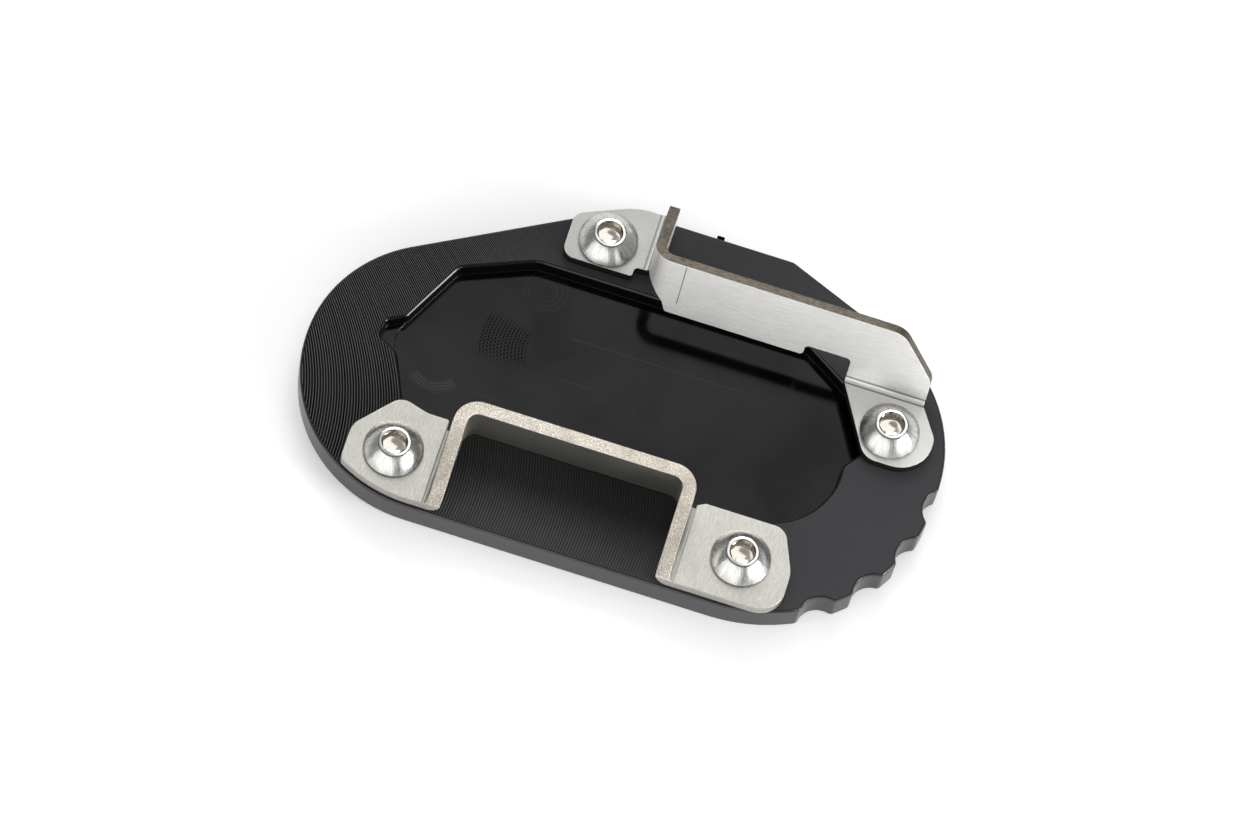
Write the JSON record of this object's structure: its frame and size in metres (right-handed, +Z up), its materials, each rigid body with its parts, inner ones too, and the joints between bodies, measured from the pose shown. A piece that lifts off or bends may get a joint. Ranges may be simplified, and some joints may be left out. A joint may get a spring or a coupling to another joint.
{
  "type": "kickstand foot enlarger",
  "caption": "Milled plate that widens a motorbike side stand's foot, with a shallow pocket, scalloped corner and two folded sheet brackets screwed on to grip the foot.",
  "frame": {"origin": "on the plate's underside, in the middle of its nominal length and width", "axes": "+X along the plate towards its scalloped end, +Y across it towards the leaning bracket, +Z up out of the ground face"},
  "size_m": [0.1128, 0.0681, 0.0203],
  "materials": {
    "anodised_plate": "black anodised milled aluminium",
    "stainless_sheet": "fine brushed stainless sheet",
    "stainless_screw": "polished stainless"
  },
  "bodies": {
    "root": {"base_plate": "anodised_plate", "near_bracket": "stainless_sheet", "far_bracket": "stainless_sheet", "screw_near_left": "stainless_screw", "screw_near_right": "stainless_screw", "screw_far_left": "stainless_screw", "screw_far_right": "stainless_screw"}
  },
  "joints": []
}
